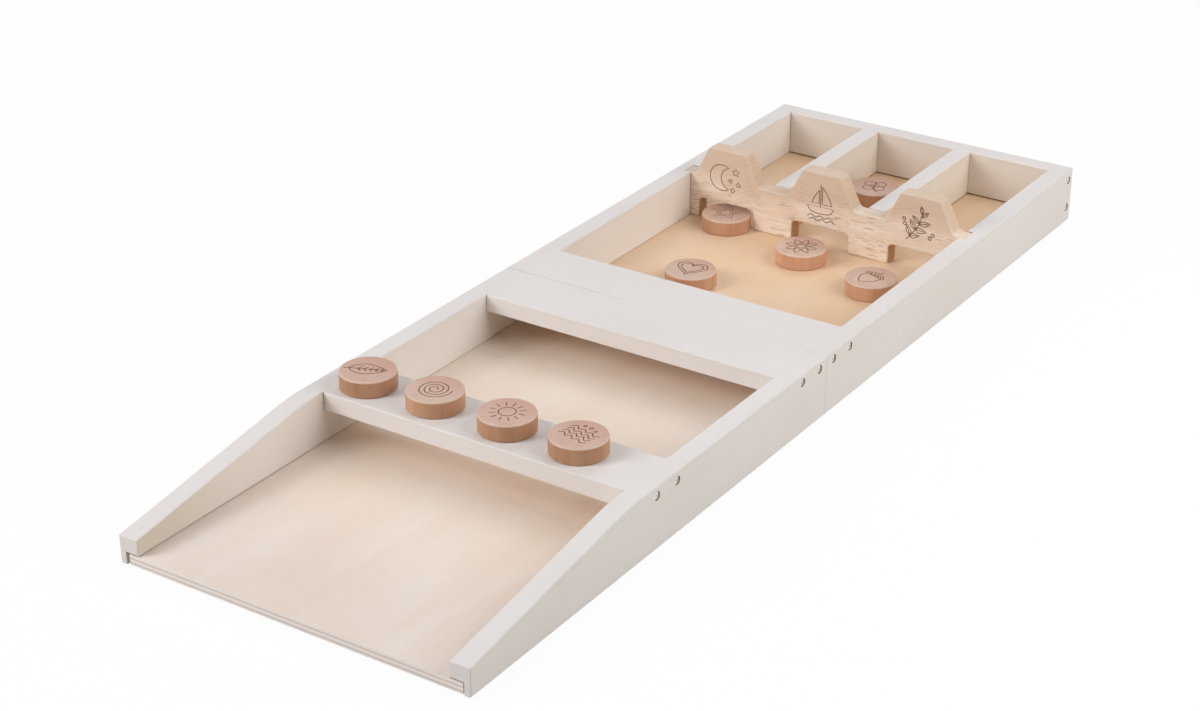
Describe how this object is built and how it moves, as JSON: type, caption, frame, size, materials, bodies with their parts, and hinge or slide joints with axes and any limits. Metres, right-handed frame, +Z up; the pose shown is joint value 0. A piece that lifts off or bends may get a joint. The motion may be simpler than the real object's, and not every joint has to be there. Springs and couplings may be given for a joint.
{
  "type": "folding table shuffleboard",
  "caption": "Painted wooden sliding-puck board in two hinged halves, with plywood floor, puck rest, bridge boards, a lift-out arched scoring gate and loose wooden pucks.",
  "frame": {"origin": "on the table under the feet, in the middle of the open board's footprint, below the fold", "axes": "X across the board, to the right as a player at the low front end sees it; Y along the board, from the low front end to the goal end; Z up"},
  "size_m": [0.32, 0.98, 0.088],
  "materials": {
    "white_wood": "matt off-white paint on solid timber",
    "birch_ply": "pale clear-lacquered birch plywood",
    "gate_wood": "bare sanded timber",
    "puck_wood": "waxed beech",
    "screw_steel": "zinc-plated",
    "hinge_steel": "zinc-plated sheet",
    "foot_rubber": "matt black"
  },
  "bodies": {
    "front_half": {"rail_front_left": "white_wood", "rail_front_right": "white_wood", "floor_front": "birch_ply", "puck_rest": "white_wood", "bridge_front": "white_wood", "hinge_leaf_front_left": "hinge_steel", "hinge_leaf_front_right": "hinge_steel", "hinge_pin_left": "hinge_steel", "hinge_pin_right": "hinge_steel", "frame_screws_front": "screw_steel", "floor_screws_front": "screw_steel", "leaf_screws_front": "screw_steel", "feet_front": "foot_rubber"},
    "rear_half": {"rail_rear_left": "white_wood", "rail_rear_right": "white_wood", "floor_rear": "birch_ply", "bridge_rear": "white_wood", "end_board": "white_wood", "divider_left": "white_wood", "divider_right": "white_wood", "hinge_leaf_rear_left": "hinge_steel", "hinge_leaf_rear_right": "hinge_steel", "frame_screws_rear": "screw_steel", "floor_screws_rear": "screw_steel", "leaf_screws_rear": "screw_steel", "feet_rear": "foot_rubber"},
    "gate": {"gate_board": "gate_wood"},
    "puck_1": {"puck_1": "puck_wood"},
    "puck_2": {"puck_2": "puck_wood"},
    "puck_3": {"puck_3": "puck_wood"},
    "puck_4": {"puck_4": "puck_wood"},
    "puck_5": {"puck_5": "puck_wood"},
    "puck_6": {"puck_6": "puck_wood"},
    "puck_7": {"puck_7": "puck_wood"},
    "puck_8": {"puck_8": "puck_wood"},
    "puck_9": {"puck_9": "puck_wood"}
  },
  "joints": [
    {"name": "fold", "type": "hinge", "parent": "front_half", "child": "rear_half", "pos_m": [0, 0, 0.0027], "axis": [1, 0, 0], "range_deg": [-179, 0]},
    {"name": "gate_lift", "type": "slide", "parent": "rear_half", "child": "gate", "axis": [0, 0, 1], "range_m": [0, 0.075]},
    {"name": "puck_1_lift", "type": "slide", "parent": "front_half", "child": "puck_1", "axis": [0, 0, 1], "range_m": [0, 0.05]},
    {"name": "puck_2_lift", "type": "slide", "parent": "front_half", "child": "puck_2", "axis": [0, 0, 1], "range_m": [0, 0.05]},
    {"name": "puck_3_lift", "type": "slide", "parent": "front_half", "child": "puck_3", "axis": [0, 0, 1], "range_m": [0, 0.05]},
    {"name": "puck_4_lift", "type": "slide", "parent": "front_half", "child": "puck_4", "axis": [0, 0, 1], "range_m": [0, 0.05]},
    {"name": "puck_5_slide", "type": "slide", "parent": "rear_half", "child": "puck_5", "axis": [0, 1, 0], "range_m": [-0.03, 0.15]},
    {"name": "puck_6_slide", "type": "slide", "parent": "rear_half", "child": "puck_6", "axis": [0, 1, 0], "range_m": [-0.1, 0.06]},
    {"name": "puck_7_slide", "type": "slide", "parent": "rear_half", "child": "puck_7", "axis": [0, 1, 0], "range_m": [-0.1, 0.039]},
    {"name": "puck_8_slide", "type": "slide", "parent": "rear_half", "child": "puck_8", "axis": [0, 1, 0], "range_m": [-0.05, 0.05]},
    {"name": "puck_9_slide", "type": "slide", "parent": "rear_half", "child": "puck_9", "axis": [0, 1, 0], "range_m": [-0.03, 0.038]}
  ]
}
